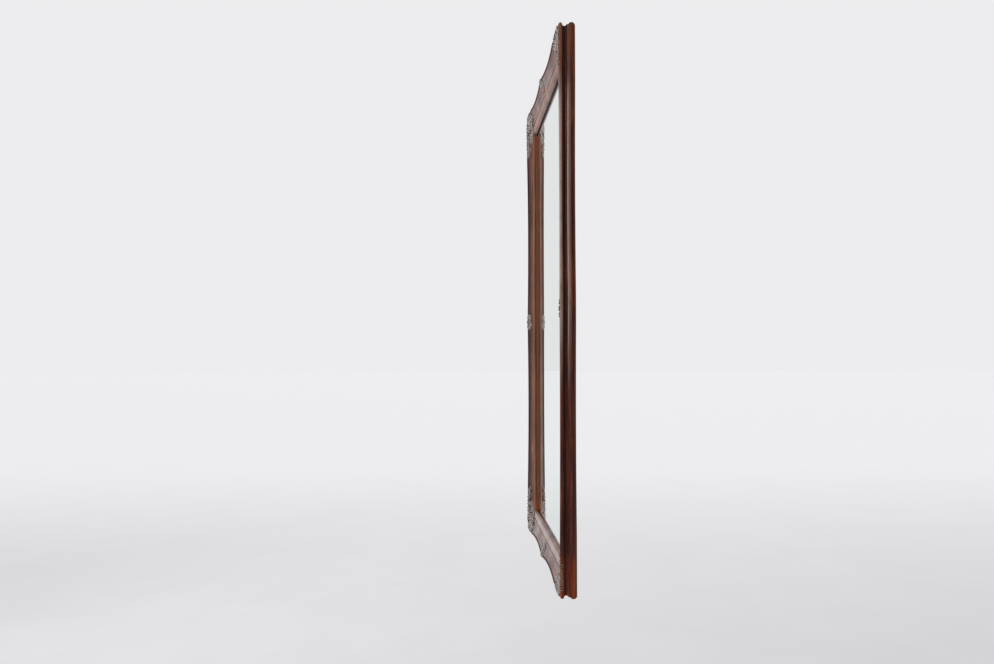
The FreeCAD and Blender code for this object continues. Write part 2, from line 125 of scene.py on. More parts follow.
def colour_setting(name, description, code):
    return FloatVectorProperty(
        name=name, description=description, default=linear(code), subtype="COLOR", size=3)


class MouldingSizes(bpy.types.PropertyGroup):
    crest_height: length_setting("Crest height", "From the wall to the moulding's crest", 33.5 * MM)
    crest_inset: length_setting("Crest inset", "From the outer edge to the crest", 4 * MM)
    slope_width: length_setting("Slope width", "From the crest in to the slope's foot", 30 * MM)
    slope_foot: length_setting("Slope foot", "From the wall to the slope's foot", 22.8 * MM)
    slope_hollow: length_setting("Slope hollow", "How far the slope dips below a straight line", 1.4 * MM)
    round_start: length_setting("Round start", "From the outer edge to the inner round", 34.8 * MM)
    round_end: length_setting(
        "Round end", "From the outer edge to the far side of the inner round", 50.5 * MM)
    round_top: length_setting("Round top", "From the wall to the inner round's start", 21.4 * MM)
    round_foot: length_setting("Round foot", "From the wall to the inner round's far side", 16.2 * MM)
    round_rise: length_setting("Round rise", "How far the inner round swells above a straight line", 2.2 * MM)
    bead_radius: length_setting("Bead radius", "Radius of the bead outside the crest", 3.817 * MM)
    bead_inset: length_setting("Bead inset", "From the outer edge to the bead's centre", 4.417 * MM)
    bead_height: length_setting("Bead height", "From the wall to the bead's centre", 29.706 * MM)
    middle_drop: length_setting(
        "Middle drop", "How much lower the crest is in the middle of a side", 0.7 * MM)
    sweep: length_setting("Sweep", "How far each scallop of the outer edge comes in", 6 * MM)
    corner_straight: length_setting("Corner straight", "Straight run of the outer edge at a corner", 112 * MM)
    middle_straight: length_setting(
        "Middle straight", "Half of the straight run in the middle of a side", 26 * MM)
    cove_foot: length_setting(
        "Cove foot", "From the wall to the cove's foot, below which nothing drops", 18 * MM)


class CarvingSettings(bpy.types.PropertyGroup):
    relief: length_setting("Relief", "How proud of the moulding a leaf's finger stands", 3.0 * MM)
    sink: length_setting("Sink", "How deep the carving's flat back lies in the moulding", 0.8 * MM)
    headroom: length_setting("Headroom", "Highest point of a carving, from the wall", 34.9 * MM)
    edge: length_setting("Edge", "Least distance of a carving from the outer edge", 0.12 * MM)
    detail: length_setting("Detail", "Size of the smallest cut", 0.55 * MM)
    softening: IntProperty(
        name="Softening", description="Passes of smoothing after the cut", default=2, min=0, max=20)


class WoodSettings(bpy.types.PropertyGroup):
    dark: colour_setting("Dark grain", "The darkest of the mahogany", "#33110a")
    middle: colour_setting("Middle grain", "Most of the mahogany", "#6a270d")
    light: colour_setting("Light grain", "The lightest of the mahogany", "#a0562a")
    # Grime also colours painted shade: in the recesses, along the crest, down the stiles' slope, between the
    # leaves and on the rails' sight edges
    grime_and_shade: colour_setting("Grime", "Old polish and dust in the recesses", "#170a06")
    # The worn edge's colour is also a painted highlight on the outer side's lines
    worn_and_highlight: colour_setting("Worn edge", "Edges and high points rubbed pale", "#dcc0b0")
    # The inner round's colour also paints light on the stiles' sight edges
    round: colour_setting("Inner round", "The rubbed round beside the glass", "#94633f")
    round_rubbing: FloatProperty(
        name="Inner round rubbing", description="How far the inner round is rubbed through", default=0.6,
        min=0, max=1, subtype="FACTOR")
    # The rubbed colour is also a painted highlight on the carvings' high points; on the bottom rail it is
    # dust
    rubbed_and_highlight: colour_setting("Rubbed carving", "High points of the carvings", "#b3aaa4")
    warm: colour_setting("Warm ends", "Ends of the stiles, where the stain has faded", "#a8480f")
    bare: colour_setting("Bare wood", "The unpolished back", "#7c4e34")


class FittingSettings(bpy.types.PropertyGroup):
    brass: colour_setting("Brass", "Sheet brass of the turn buttons and their screws", "#c79a4b")
    zinc: colour_setting("Zinc", "Zinc plating of the hangers", "#b4b8bb")
    steel: colour_setting("Steel", "Bare steel of the nails", "#8b8e92")
    rubber: colour_setting("Rubber", "Rubber of the wall pads", "#1b1a19")
    board: colour_setting("Hardboard", "Pressed wood fibre of the back", "#7a5235")
    silver: colour_setting("Silvering", "Silver seen through the faintly green glass", "#ebf3ef")
    paint: colour_setting("Backing paint", "Paint over the silver", "#7b8283")
    glass_arris: length_setting("Glass arris", "Width of the ground edge of the glass", 0.4 * MM)


# The picture's width and the camera's focal length, both in the picture's pixels
PICTURE_WIDTH, FOCAL_LENGTH = 994, 903.4


class StageSettings(bpy.types.PropertyGroup):
    camera_place: FloatVectorProperty(
        name="Camera place", description="Where the camera stands", size=3,
        default=(1.9964, -0.2135, -0.08685), subtype="TRANSLATION", unit="LENGTH")
    camera_swing: FloatProperty(
        name="Camera swing", description="Turn to the wall from a line along it", default=0.0504,
        unit="ROTATION")
    camera_tilt: FloatProperty(name="Camera tilt", description="Upward tilt", default=0.0262, unit="ROTATION")
    camera_roll: FloatProperty(
        name="Camera roll", description="Roll about the line of sight", default=-0.0015, unit="ROTATION")
    view_width: length_setting("View width", "Width of the view at one metre", PICTURE_WIDTH / FOCAL_LENGTH)
    floor_drop: length_setting("Floor drop", "From the mirror's middle down to the floor", 1.5)
    floor_size: length_setting("Floor size", "Length of the floor's sides", 160.0)
    floor_colour: colour_setting("Floor colour", "Plain pale floor", "#eeeef0")
    backdrop: colour_setting("Backdrop", "Pale surroundings behind the mirror", "#edecee")
    floor_far: FloatProperty(
        name="Far floor", description="Light that the floor's far left end gives", default=0.83, min=0)
    floor_near: FloatProperty(
        name="Near floor", description="Light that the floor near the camera gives", default=0.45, min=0)
    far_end: FloatProperty(
        name="Far end", description="Light from the room's far left end", default=0.95, min=0)
    front: FloatProperty(
        name="Front", description="Light from straight in front of the mirror", default=0.75, min=0)
    left_side: FloatProperty(
        name="Left side", description="Light from the left half of the room", default=0.5, min=0)
    dim_side: FloatProperty(
        name="Dim side", description="Light from the right half of the room", default=0.17, min=0)
    key_power: FloatProperty(
        name="Key light", description="Power of the soft light high on the left", default=95.0, unit="POWER")
    window_power: FloatProperty(
        name="Window light", description="Power of the soft light in front on the right", default=16.0,
        unit="POWER")


# Masks and colours that several materials share
def overlap(tree, mask, *others):
    """A mask for where several masks meet."""
    for other in others:
        mask = add_node(tree, "Math", links={0: mask, 1: other}, operation="MULTIPLY")
    return mask


def strip(tree, source, first, last, soft, most=1.0):
    """A mask for a strip between two places across the moulding, soft at its edges."""
    edges = (
        add_node(
            tree, "MapRange", {"From Min": start, "From Max": end, "To Max": top},
            {"Value": source}, interpolation_type="SMOOTHSTEP",
        )
        for start, end, top in ((first - soft, first + soft, 1.0), (last + soft, last - soft, most))
    )
    return overlap(tree, *edges)


def layered(tree, ground, layers):
    """A ground colour with other tones laid over it in turn, each where its mask says."""
    colour = add_node(tree, "RGB")
    colour.outputs[0].default_value = opaque(ground)
    for mask, tone in layers:
        colour = add_node(tree, "Mix", {"B": opaque(tone)}, {"Factor": mask, "A": colour}, data_type="RGBA")
    return colour


def toned(tree, ground, rows):
    """A ground colour with other tones laid over it in turn. A row says what the tone's mask reads, where it
    starts and ends, and its most, and then the tone."""
    layers = []
    for source, start, end, most, tone in rows:
        mask = add_node(
            tree, "MapRange", {"From Min": start, "From Max": end, "To Max": most}, {"Value": source},
        )
        layers.append((mask, tone))
    return layered(tree, ground, layers)


def profile_place(tree, place, along, half, half_length, sizes):
    """How far in a place is from the member's outer line and from its swept edge, how far along from the
    member's middle, its depth and its height."""
    axes = add_node(tree, "SeparateXYZ", links={"Vector": place})
    across, run = (
        add_node(tree, "Math", links={0: axes.outputs[axis]}, operation="ABSOLUTE")
        for axis in ("X" if along == "Z" else "Z", along)
    )
    inset = add_node(tree, "Math", {0: half}, {1: across}, operation="SUBTRACT")
    share = add_node(
        tree, "MapRange",
        {"From Min": sizes.middle_straight, "From Max": half_length - sizes.corner_straight}, {"Value": run},
    )
    rest = add_node(tree, "Math", {0: 1.0}, {1: share}, operation="SUBTRACT")
    # A scallop is a parabola: the product of its two shares is a quarter in its middle
    arch = overlap(tree, share, rest)
    sweep = add_node(tree, "Math", {1: 4 * sizes.sweep}, {0: arch}, operation="MULTIPLY")
    swept = add_node(tree, "Math", links={0: inset, 1: sweep}, operation="SUBTRACT")
    return inset, swept, run, axes.outputs["Y"], axes.outputs["Z"]


# Materials
def polished_mahogany(name, along, half, half_length, wood, sizes):
    """French-polished mahogany: long ribbons of grain and short dark pores under a thin clear film, so it is
    deep in colour from the front and shines at a low angle. Painted shade darkens it along the crest, down
    the stiles' slope, in the recesses, between the corners' leaves and on the rails' sight edges, and painted
    light brightens the stiles' sight edges. It is rubbed paler on the inner round, and the edges of the outer
    side are worn pale with painted highlights."""
    material, tree, place = new_material(name)
    upright = along == "Z"
    inset, swept, run, depth, height = profile_place(tree, place, along, half, half_length, sizes)
    lengthwise = add_node(
        tree, "Mapping", {"Scale": tuple(0.06 if axis == along else 1.0 for axis in "XYZ")},
        {"Vector": place},
    )
    # Ribbons are 5 to 10 mm wide. Pores are 0.3 mm wide and drawn at 1 mm, so that they show.
    ribbons = add_node(
        tree, "TexNoise", {"Scale": 1 / (7 * MM), "Detail": 5, "Roughness": 0.6, "Distortion": 0.4},
        {"Vector": lengthwise},
    )
    pores, ripple, patches = (
        add_node(tree, "TexNoise", {"Scale": 1 / (width * MM), "Detail": detail}, {"Vector": source})
        for width, detail, source in ((1, 2, lengthwise), (16, 1, lengthwise), (70, 2, place))
    )
    hollow = add_node(tree, "AmbientOcclusion", {"Distance": 4 * MM}, samples=8)
    # The film is thinner on the stiles, which hands have worn
    thick = 0.2 if upright else 0.34
    # What each mask reads, where it starts and ends, and its least and most
    everywhere = (
        ("ribbon", ribbons, 0.34, 0.52, 0.0, 1.0),
        ("streak", ribbons, 0.52, 0.68, 0.0, 1.0),
        ("worn_through", ribbons, 0.36, 0.56, 0.45, 1.0),
        ("pore", pores, 0.46, 0.36, 0.0, 0.55),
        ("patch", patches, 0.38, 0.64, 0.0, 0.4),
        ("rubbing", patches, 0.34, 0.52, 0.6, 1.0),
        ("gloss", patches, 0.3, 0.7, 0.3, 0.44),
        ("film", patches, 0.3, 0.7, thick, thick - 0.1),
        # Painted shade: darker where ambient occlusion finds a recess, and in the hollows between the
        # corners' leaves
        ("recess_shade", hollow, 0.5, 0.15, 0.0, 0.7),
        ("shade_near_leaves", hollow, 0.92, 0.7, 0.0, 0.9),
        ("at_corner", run, half_length - 118 * MM, half_length - 104 * MM, 0.0, 1.0),
        ("outer_side", swept, 5.5 * MM, 3 * MM, 0.0, 1.0),
        ("back", depth, 11.6 * MM, 12.2 * MM, 0.0, 1.0),
    )
    up_the_stiles = (
        ("faded_foot", height, -440 * MM, -475 * MM, 0.0, 0.8),
        ("faded_top", height, 360 * MM, 520 * MM, 0.0, 0.4),
        ("above_foot", height, -200 * MM, 50 * MM, 0.0, 1.0),
        ("below_top", height, 350 * MM, 460 * MM, 1.0, 0.3),
    )
    from_rail_to_rail = (
        ("dusty", height, -400 * MM, -440 * MM, 0.0, 0.75),
        ("overhead", height, -100 * MM, 100 * MM, 0.25, 1.0),
    )
    at_heights = (up_the_stiles, "SMOOTHSTEP") if upright else (from_rail_to_rail, "LINEAR")
    masks = {}
    for rows, blend in ((everywhere, "LINEAR"), at_heights):
        for part, source, start, end, least, most in rows:
            masks[part] = add_node(
                tree, "MapRange",
                {"From Min": start, "From Max": end, "To Min": least, "To Max": most}, {"Value": source},
                interpolation_type=blend,
            )
    inner_round = strip(tree, inset, 36 * MM, 48.5 * MM, 1.2 * MM, wood.round_rubbing)
    worn_and_highlit_part = overlap(tree, masks["outer_side"], masks["rubbing"])
    layers = [
        (masks["ribbon"], wood.middle), (masks["streak"], wood.light), (masks["pore"], wood.dark),
        (masks["patch"], wood.dark),
    ]
    if upright:
        # The stain has faded at the stiles' ends, and the worn lines, which are also painted highlights, fade
        # towards them
        layers += [
            (overlap(tree, masks[end], masks["ribbon"]), wood.warm) for end in ("faded_foot", "faded_top")
        ]
        worn_and_highlit_part = overlap(tree, worn_and_highlit_part, masks["above_foot"], masks["below_top"])
    layers.append((overlap(tree, inner_round, masks["worn_through"]), wood.round))
    if not upright:
        # Dust lies on the bottom rail's inner round
        front = strip(tree, depth, -17 * MM, 5 * MM, 1 * MM)
        layers.append((overlap(tree, inner_round, masks["dusty"], front), wood.rubbed_and_highlight))
    # The outer side is worn pale on the bead, on the fillet 15 to 18 mm from the wall, and on a fainter line
    # of the torus below it. These pale lines are painted highlights as well as wear.
    for first, last, soft, most in (
        (-17 * MM, -9.4 * MM, 1.2 * MM, 0.7),
        (0.3 * MM, 2.5 * MM, 0.3 * MM, 1.0),
        (2.5 * MM, 7.2 * MM, 0.8 * MM, 0.2),
    ):
        layers.append((overlap(tree, strip(tree, depth, first, last, soft, most), worn_and_highlit_part), wood.worn_and_highlight))
    # Painted shade lies dark along the inner side of the crest, and in the hollows between the corners'
    # leaves
    painted_shade_parts = [
        (overlap(
            tree, strip(tree, swept, 4.4 * MM, 7.2 * MM, 1.2 * MM, 0.9),
            strip(tree, depth, -17 * MM, -11 * MM, 1 * MM),
        ), 0.85),
        (overlap(tree, masks["at_corner"], masks["shade_near_leaves"]), 0.8),
    ]
    # Painted shade on the rails' sight edges, and painted light on the stiles' sight edges
    painted_sight_edge = strip(tree, inset, 52.35 * MM, 60 * MM, 0.1 * MM, 0.85)
    if upright:
        # Painted shade spreads down the stiles' slope from the crest, and painted light brightens their sight
        # edges
        fading = add_node(
            tree, "MapRange",
            {"From Min": 6 * MM, "From Max": 28 * MM, "To Min": 0.65, "To Max": 0.0}, {"Value": swept},
        )
        slope_shade = overlap(
            tree, fading, strip(tree, swept, 4.4 * MM, 40 * MM, 1.2 * MM),
            strip(tree, depth, -17 * MM, -3 * MM, 1 * MM),
        )
        painted_shade_parts.insert(1, (slope_shade, 0.7))
        painted_sight_tone = wood.round
    else:
        # Painted shade darkens the rails' sight edges, the top rail's more than the bottom rail's
        painted_sight_edge = overlap(tree, painted_sight_edge, masks["overhead"])
        painted_sight_tone = wood.grime_and_shade
    layers += [(part, wood.grime_and_shade) for part, _ in painted_shade_parts]
    # Painted shade darkens the recesses that ambient occlusion finds, the sight edges take their painted
    # tone, and the flat back is left unpolished
    layers += [
        (masks["recess_shade"], wood.grime_and_shade), (painted_sight_edge, painted_sight_tone),
        (overlap(tree, masks["back"], masks["worn_through"]), wood.bare),
    ]
    gloss, film = masks["gloss"], masks["film"]
    for part, roughness in (*painted_shade_parts, (painted_sight_edge, 0.7), (masks["back"], 0.75)):
        gloss = add_node(tree, "Mix", {"B": roughness}, {"Factor": part, "A": gloss})
        film = add_node(tree, "Mix", {"B": 0.0}, {"Factor": part, "A": film})
    colour = layered(tree, wood.dark, layers)
    waves = add_node(tree, "Bump", {"Distance": 0.25 * MM}, {"Height": ripple})
    normal = add_node(tree, "Bump", {"Distance": 0.06 * MM}, {"Height": pores, "Normal": waves})
    finish_surface(
        tree,
        {"IOR": 1.34, "Coat Roughness": 0.12, "Coat IOR": 1.5},
        {"Base Color": colour, "Roughness": gloss, "Coat Weight": film, "Normal": normal},
    )
    return material


def waxed_carving(name, half_width, half_height, wood):
    """Carved and waxed mahogany: wax and smoke lie dark in random pits and patches, painted shade darkens the
    cuts and hollows, the high points are rubbed to a pale grey brown with painted highlights, and a film of
    dust greys it at a low angle. Round the outside, over the bead, it keeps its brown."""
    material, tree, place = new_material(name)
    axes = add_node(tree, "SeparateXYZ", links={"Vector": place})
    to_edge = []
    for axis, half in (("X", half_width), ("Z", half_height)):
        out = add_node(tree, "Math", links={0: axes.outputs[axis]}, operation="ABSOLUTE")
        to_edge.append(add_node(tree, "Math", {1: half}, {0: out}, operation="SUBTRACT"))
    outermost = add_node(tree, "Math", links=dict(enumerate(to_edge)), operation="MAXIMUM")
    # Smoke clings in patches of 13 mm, the tone changes every 5 mm, wax sits in 3 mm pits, and the chisel
    # left ridges 1.4 mm apart
    smoke, mottle, pits, chisel = (
        add_node(tree, "TexNoise", {"Scale": 1 / (pitch * MM), "Detail": detail}, {"Vector": place})
        for pitch, detail in ((13, 2), (5, 4), (3, 2), (1.4, 3))
    )
    edges = add_node(tree, "NewGeometry").outputs["Pointiness"]
    hollow = add_node(tree, "AmbientOcclusion", {"Distance": 4 * MM}, samples=8)
    # Pointed edges are rubbed pale with painted highlights, and creases (low pointiness) and hollows (ambient
    # occlusion) get painted shade
    colour = toned(tree, wood.dark, (
        (mottle, 0.32, 0.5, 1.0, wood.middle),
        (mottle, 0.5, 0.72, 1.0, wood.light),
        (edges, 0.488, 0.515, 0.94, wood.rubbed_and_highlight),
        (edges, 0.488, 0.46, 0.97, wood.grime_and_shade),
        (hollow, 0.9, 0.55, 0.97, wood.grime_and_shade),
        (pits, 0.43, 0.36, 0.7, wood.grime_and_shade),
        (smoke, 0.47, 0.38, 0.9, wood.grime_and_shade),
        (outermost, -4.5 * MM, -3 * MM, 0.75, wood.round),
    ))
    gloss = add_node(
        tree, "MapRange", {"From Min": 0.3, "From Max": 0.7, "To Min": 0.34, "To Max": 0.5},
        {"Value": mottle},
    )
    normal = add_node(tree, "Bump", {"Distance": 0.12 * MM}, {"Height": chisel})
    finish_surface(
        tree,
        {
            "IOR": 1.45,
            "Coat Weight": 0.12,
            "Coat Roughness": 0.25,
            "Sheen Weight": 1.0,
            "Sheen Roughness": 0.35,
            "Sheen Tint": opaque(linear("#e6e0da")),
        },
        {"Base Color": colour, "Roughness": gloss, "Normal": normal},
    )
    return material


def silvered_glass(fittings):
    """Float glass silvered on its back: a clear reflection with a faint green, and a weaker one from the
    front of the glass over it. Float glass is flat to a few microns, here drawn at 20."""
    material, tree, place = new_material("silvered_float_glass")
    waviness = add_node(tree, "TexNoise", {"Scale": 1 / (150 * MM), "Detail": 1}, {"Vector": place})
    cloud = add_node(tree, "TexNoise", {"Scale": 1 / (40 * MM), "Detail": 3}, {"Vector": place})
    haze = add_node(
        tree, "MapRange", {"From Min": 0.4, "From Max": 0.7, "To Min": 0.004, "To Max": 0.014},
        {"Value": cloud},
    )
    normal = add_node(tree, "Bump", {"Distance": 0.02 * MM}, {"Height": waviness})
    finish_surface(
        tree,
        {
            "Base Color": opaque(fittings.silver),
            "Metallic": 1.0,
            "Coat Weight": 0.6,
            "Coat Roughness": 0.0,
            "Coat IOR": 1.52,
        },
        {"Roughness": haze, "Normal": normal},
    )
    return material


def backing_paint(fittings):
    """The grey paint that seals the silver on the back of the glass: matt, with brush marks 2 mm apart."""
    material, tree, place = new_material("mirror_backing_paint")
    brushed = add_node(tree, "Mapping", {"Scale": (0.05, 1, 1)}, {"Vector": place})
    marks = add_node(tree, "TexNoise", {"Scale": 1 / (2 * MM), "Detail": 3}, {"Vector": brushed})
    colour = toned(tree, linear("#5a5f60"), [(marks, 0.35, 0.65, 1.0, fittings.paint)])
    normal = add_node(tree, "Bump", {"Distance": 0.05 * MM}, {"Height": marks})
    finish_surface(tree, {"Roughness": 0.6}, {"Base Color": colour, "Normal": normal})
    return material


def satin_metal(name, base, tarnish, pitch, roughness):
    """Drawn or stamped metal with a satin face: fine scratches one way and a cloud of tarnish."""
    material, tree, place = new_material(name)
    drawn = add_node(tree, "Mapping", {"Scale": (0.05, 1, 1)}, {"Vector": place})
    # Scratches are hair-fine and drawn 0.25 mm apart
    scratches = add_node(tree, "TexNoise", {"Scale": 1 / (0.25 * MM), "Detail": 2}, {"Vector": drawn})
    cloud = add_node(
        tree, "TexNoise", {"Scale": 1 / pitch, "Detail": 5, "Roughness": 0.65}, {"Vector": place},
    )
    colour = toned(tree, base, [(cloud, 0.42, 0.7, 0.8, linear(tarnish))])
    gloss = add_node(
        tree, "MapRange",
        {"From Min": 0.3, "From Max": 0.7, "To Min": roughness - 0.08, "To Max": roughness + 0.16},
        {"Value": cloud},
    )
    normal = add_node(tree, "Bump", {"Distance": 0.012 * MM}, {"Height": scratches})
    finish_surface(tree, {"Metallic": 1.0}, {"Base Color": colour, "Roughness": gloss, "Normal": normal})
    return material


def pressed_hardboard(fittings):
    """Hardboard: brown pressed fibre whose rough back keeps the print of a wire screen. The wires lie 1 mm
    apart and are drawn 3 mm apart, so that they show."""
    material, tree, place = new_material("pressed_hardboard")
    fibres = add_node(
        tree, "TexNoise", {"Scale": 1 / (1.6 * MM), "Detail": 5, "Roughness": 0.7}, {"Vector": place},
    )
    stains = add_node(tree, "TexNoise", {"Scale": 1 / (90 * MM), "Detail": 3}, {"Vector": place})
    dark = linear("#4c3120")
    colour = toned(tree, dark, ((fibres, 0.3, 0.62, 1.0, fittings.board), (stains, 0.4, 0.7, 0.5, dark)))
    # A wave's bands lie math.tau / (20 * its scale) apart
    wires = [
        add_node(
            tree, "TexWave", {"Scale": math.tau / (20 * 3 * MM)}, {"Vector": place},
            bands_direction=direction,
        ).outputs["Fac"]
        for direction in ("X", "Z")
    ]
    printed = add_node(tree, "Bump", {"Distance": 0.2 * MM}, {"Height": overlap(tree, *wires)})
    normal = add_node(tree, "Bump", {"Distance": 0.15 * MM}, {"Height": fibres, "Normal": printed})
    finish_surface(tree, {"IOR": 1.45, "Roughness": 0.82}, {"Base Color": colour, "Normal": normal})
    return material


def moulded_rubber(fittings):
    """Moulded rubber: matt black with a fine grain and a little dust."""
    material, tree, place = new_material("moulded_rubber")
    grain = add_node(tree, "TexNoise", {"Scale": 1 / (0.8 * MM), "Detail": 3}, {"Vector": place})
    colour = toned(tree, fittings.rubber, [(grain, 0.35, 0.75, 1.0, linear("#3a3835"))])
    normal = add_node(tree, "Bump", {"Distance": 0.08 * MM}, {"Height": grain})
    finish_surface(tree, {"IOR": 1.5, "Roughness": 0.78}, {"Base Color": colour, "Normal": normal})
    return material


def pale_floor(stage):
    """A plain matt floor that glows with painted light, brighter at the room's far left end and less so near
    by.
    """
    material, tree, place = new_material("pale_floor")
    axes = add_node(tree, "SeparateXYZ", links={"Vector": place})
    mottle = add_node(tree, "TexNoise", {"Scale": 2, "Detail": 2}, {"Vector": place})
    colour = toned(tree, linear("#8c8c8e"), [(mottle, 0.3, 0.7, 1.0, linear("#939395"))])
    glow = add_node(
        tree, "MapRange",
        {"From Min": -10, "From Max": 3, "To Min": stage.floor_far, "To Max": stage.floor_near},
        {"Value": axes.outputs["X"]}, interpolation_type="SMOOTHSTEP",
    )
    finish_surface(
        tree, {"Roughness": 0.9, "IOR": 1.3, "Emission Color": opaque(stage.floor_colour)},
        {"Base Color": colour, "Emission Strength": glow},
    )
    return material


# Ways of working that several pieces share
def deselect():
    if bpy.context.object and bpy.context.object.mode != "OBJECT":
        bpy.ops.object.mode_set(mode="OBJECT")
    bpy.ops.object.select_all(action="DESELECT")


def choose(*objects):
    deselect()
    for obj in objects:
        obj.select_set(True)
    bpy.context.view_layer.objects.active = objects[0]


def linked(obj):
    """Brings a new object into the scene."""
    bpy.context.scene.collection.objects.link(obj)
    return obj


def copied(obj, name):
    copy = bpy.data.objects.new(name, obj.data.copy())
    return linked(copy)


def discard(obj):
    mesh = obj.data
    bpy.data.objects.remove(obj)
    bpy.data.meshes.remove(mesh)


def dress(material, *nodes):
    """Gives nodes of the frame their material."""
    for node in nodes:
        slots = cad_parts[node].data.materials
        slots.clear()
        slots.append(material)


def apply_modifier(obj, kind, **options):
    choose(obj)
    bpy.ops.object.modifier_add(type=kind)
    modifier = obj.modifiers[-1]
    for name, value in options.items():
        setattr(modifier, name, value)
    bpy.ops.object.modifier_apply(modifier=modifier.name)


def finish_piece(obj, name, node, slot, *materials):
    """Names a finished piece, fixes it to the frame body and lets it stand for its node."""
    obj.name = name
    obj.data.name = name
    obj.data.materials.clear()
    for material in materials:
        obj.data.materials.append(material)
    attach(obj, "frame")
    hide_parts(node)


# The carver's work: plans are flat and in mm, and leaves and ropes are pressed from one finger
# A leaf's three fingers: turn from its middle line in radians, length and width as shares of the leaf's
LEAF_FINGERS = ((-0.42, 0.82, 0.36), (0.0, 1.0, 0.42), (0.42, 0.8, 0.36))
# The low ground under them: its width as a share of the leaf's, and its height as a share of the relief
LEAF_GROUND_WIDTH, LEAF_GROUND_HEIGHT = 1.15, 0.35
# How far a side finger bows out per radian of its turn, and how far tips lift as a share of the relief
FINGER_BOW, TIP_LIFT = 0.12, 0.25
# How far a rope's fingers run past both ends of their stretch, as a share of it
ROPE_OVERLAP = 0.6
# A finger's width along it: a slim heel that swells and then narrows to a point
HEEL_WIDTH, SWELL = 0.42, 0.95


def finger_blank():
    """One finger of a leaf, along X from 0 to 1: a ball shaped to a slim heel and a full, pointed tip."""
    deselect()
    bpy.ops.mesh.primitive_uv_sphere_add(segments=12, ring_count=10, radius=1.0, location=(0, 0, 0))
    obj = bpy.context.object
    bpy.ops.object.mode_set(mode="EDIT")
    bpy.ops.mesh.select_all(action="SELECT")
    bpy.ops.transform.resize(value=(1, 1, 0.5))
    bpy.ops.transform.translate(value=(0, 0, 0.5))
    bpy.ops.object.mode_set(mode="OBJECT")
    # The ball's poles lie on its heel and its tip
    for vertex in obj.data.vertices:
        side, rise, along = vertex.co
        fullness = HEEL_WIDTH + SWELL * along - HEEL_WIDTH * along ** 3
        vertex.co = (along, side * fullness, rise * fullness)
    return obj


class Carver:
    """Presses fingers to one relief and one depth, and gathers them."""

    def __init__(self, relief, sink):
        self.blank = finger_blank()
        self.relief = relief
        self.sink = sink
        self.fingers = []

    def press(self, heel, tip, width, proud=1.0, bow=0.0, lift=0.0):
        """Adds a finger from heel to tip, bowed sideways and cut flat at the back. It stands proud, and its
        tip lifts, by shares of the relief."""
        heel, tip = [[value * MM for value in place] for place in (heel, tip)]
        finger = copied(self.blank, "finger")
        start, along = Vector((*heel, 0)), Vector((tip[0] - heel[0], tip[1] - heel[1], 0))
        across = Vector((-along.y, along.x, 0)).normalized()
        for vertex in finger.data.vertices:
            share, side, rise = vertex.co
            spot = start + along * share
            spot += across * (side * width * MM / 2 + bow * along.length * 4 * share * (1 - share))
            spot.z = max(self.relief * (rise * proud + lift * share * share), -self.sink)
            vertex.co = spot
        self.fingers.append(finger)

    def leaf(self, heel, tip, width, bow):
        """Adds three fingers that fan out from one heel, over a low ground."""
        self.press(heel, tip, width * LEAF_GROUND_WIDTH, LEAF_GROUND_HEIGHT, bow)
        for turn, reach, girth in LEAF_FINGERS:
            turned = Vector((tip[0] - heel[0], tip[1] - heel[1]))
            turned.rotate(Matrix.Rotation(turn, 2))
            end = (heel[0] + turned.x * reach, heel[1] + turned.y * reach)
            self.press(heel, end, width * girth, 1.0, bow + turn * FINGER_BOW, TIP_LIFT)

    def rope(self, path, girth, proud):
        """Adds a rope of overlapping short fingers along a path."""
        for first, second in zip(path, path[1:]):
            past = [(end - start) * ROPE_OVERLAP for start, end in zip(first, second)]
            heel = [place - step for place, step in zip(first, past)]
            tip = [place + step for place, step in zip(second, past)]
            self.press(heel, tip, girth, proud)

    def mirror(self):
        """Adds the mirror image of every finger so far across the mitre."""
        for finger in list(self.fingers):
            twin = copied(finger, "twin")
            for vertex in twin.data.vertices:
                vertex.co.x, vertex.co.y = vertex.co.y, vertex.co.x
            self.fingers.append(twin)

    def cut(self, name, carving):
        """Cuts the gathered fingers as one solid and softens the cut."""
        choose(*self.fingers)
        bpy.ops.object.join()
        obj = bpy.context.object
        obj.name = name
        apply_modifier(obj, "REMESH", mode="VOXEL", voxel_size=carving.detail)
        if carving.softening:
            apply_modifier(obj, "SMOOTH", factor=0.5, iterations=carving.softening)
        discard(self.blank)
        return obj


def scroll_path(centre, start_radius, end_radius, start_turn, turns, steps):
    """A spiral from its wide end in to its eye."""
    path = []
    for step in range(steps + 1):
        share = step / steps
        radius = start_radius + (end_radius - start_radius) * share
        turn = start_turn + turns * share
        path.append((centre[0] + radius * math.cos(turn), centre[1] + radius * math.sin(turn)))
    return path


def on_section(inwards, rise, sizes, carving, lowered):
    """Carries a place in the flat plan to the moulding's section, and outside its crest round the bead."""
    if inwards >= sizes.crest_inset:
        share = (inwards - sizes.crest_inset) / sizes.slope_width
        height = sizes.crest_height + (sizes.slope_foot - sizes.crest_height) * share
        height -= sizes.slope_hollow * 4 * min(share, 1) * (1 - min(share, 1))
        across = (inwards - sizes.round_start) / (sizes.round_end - sizes.round_start)
        if across > 0:
            height_of_round = sizes.round_top + (sizes.round_foot - sizes.round_top) * across
            height = max(height, height_of_round + sizes.round_rise * 4 * across * (1 - across))
        inset, height = inwards, height + rise
    else:
        start = math.atan2(sizes.crest_height - sizes.bead_height, sizes.crest_inset - sizes.bead_inset)
        turn = start + (sizes.crest_inset - inwards) / sizes.bead_radius
        radius = sizes.bead_radius + rise
        inset = sizes.bead_inset + radius * math.cos(turn)
        height = sizes.bead_height + radius * math.sin(turn)
    drop = lowered * max(0, height - sizes.cove_foot) / (sizes.crest_height - sizes.cove_foot)
    return max(inset, carving.edge), min(height - drop, carving.headroom)


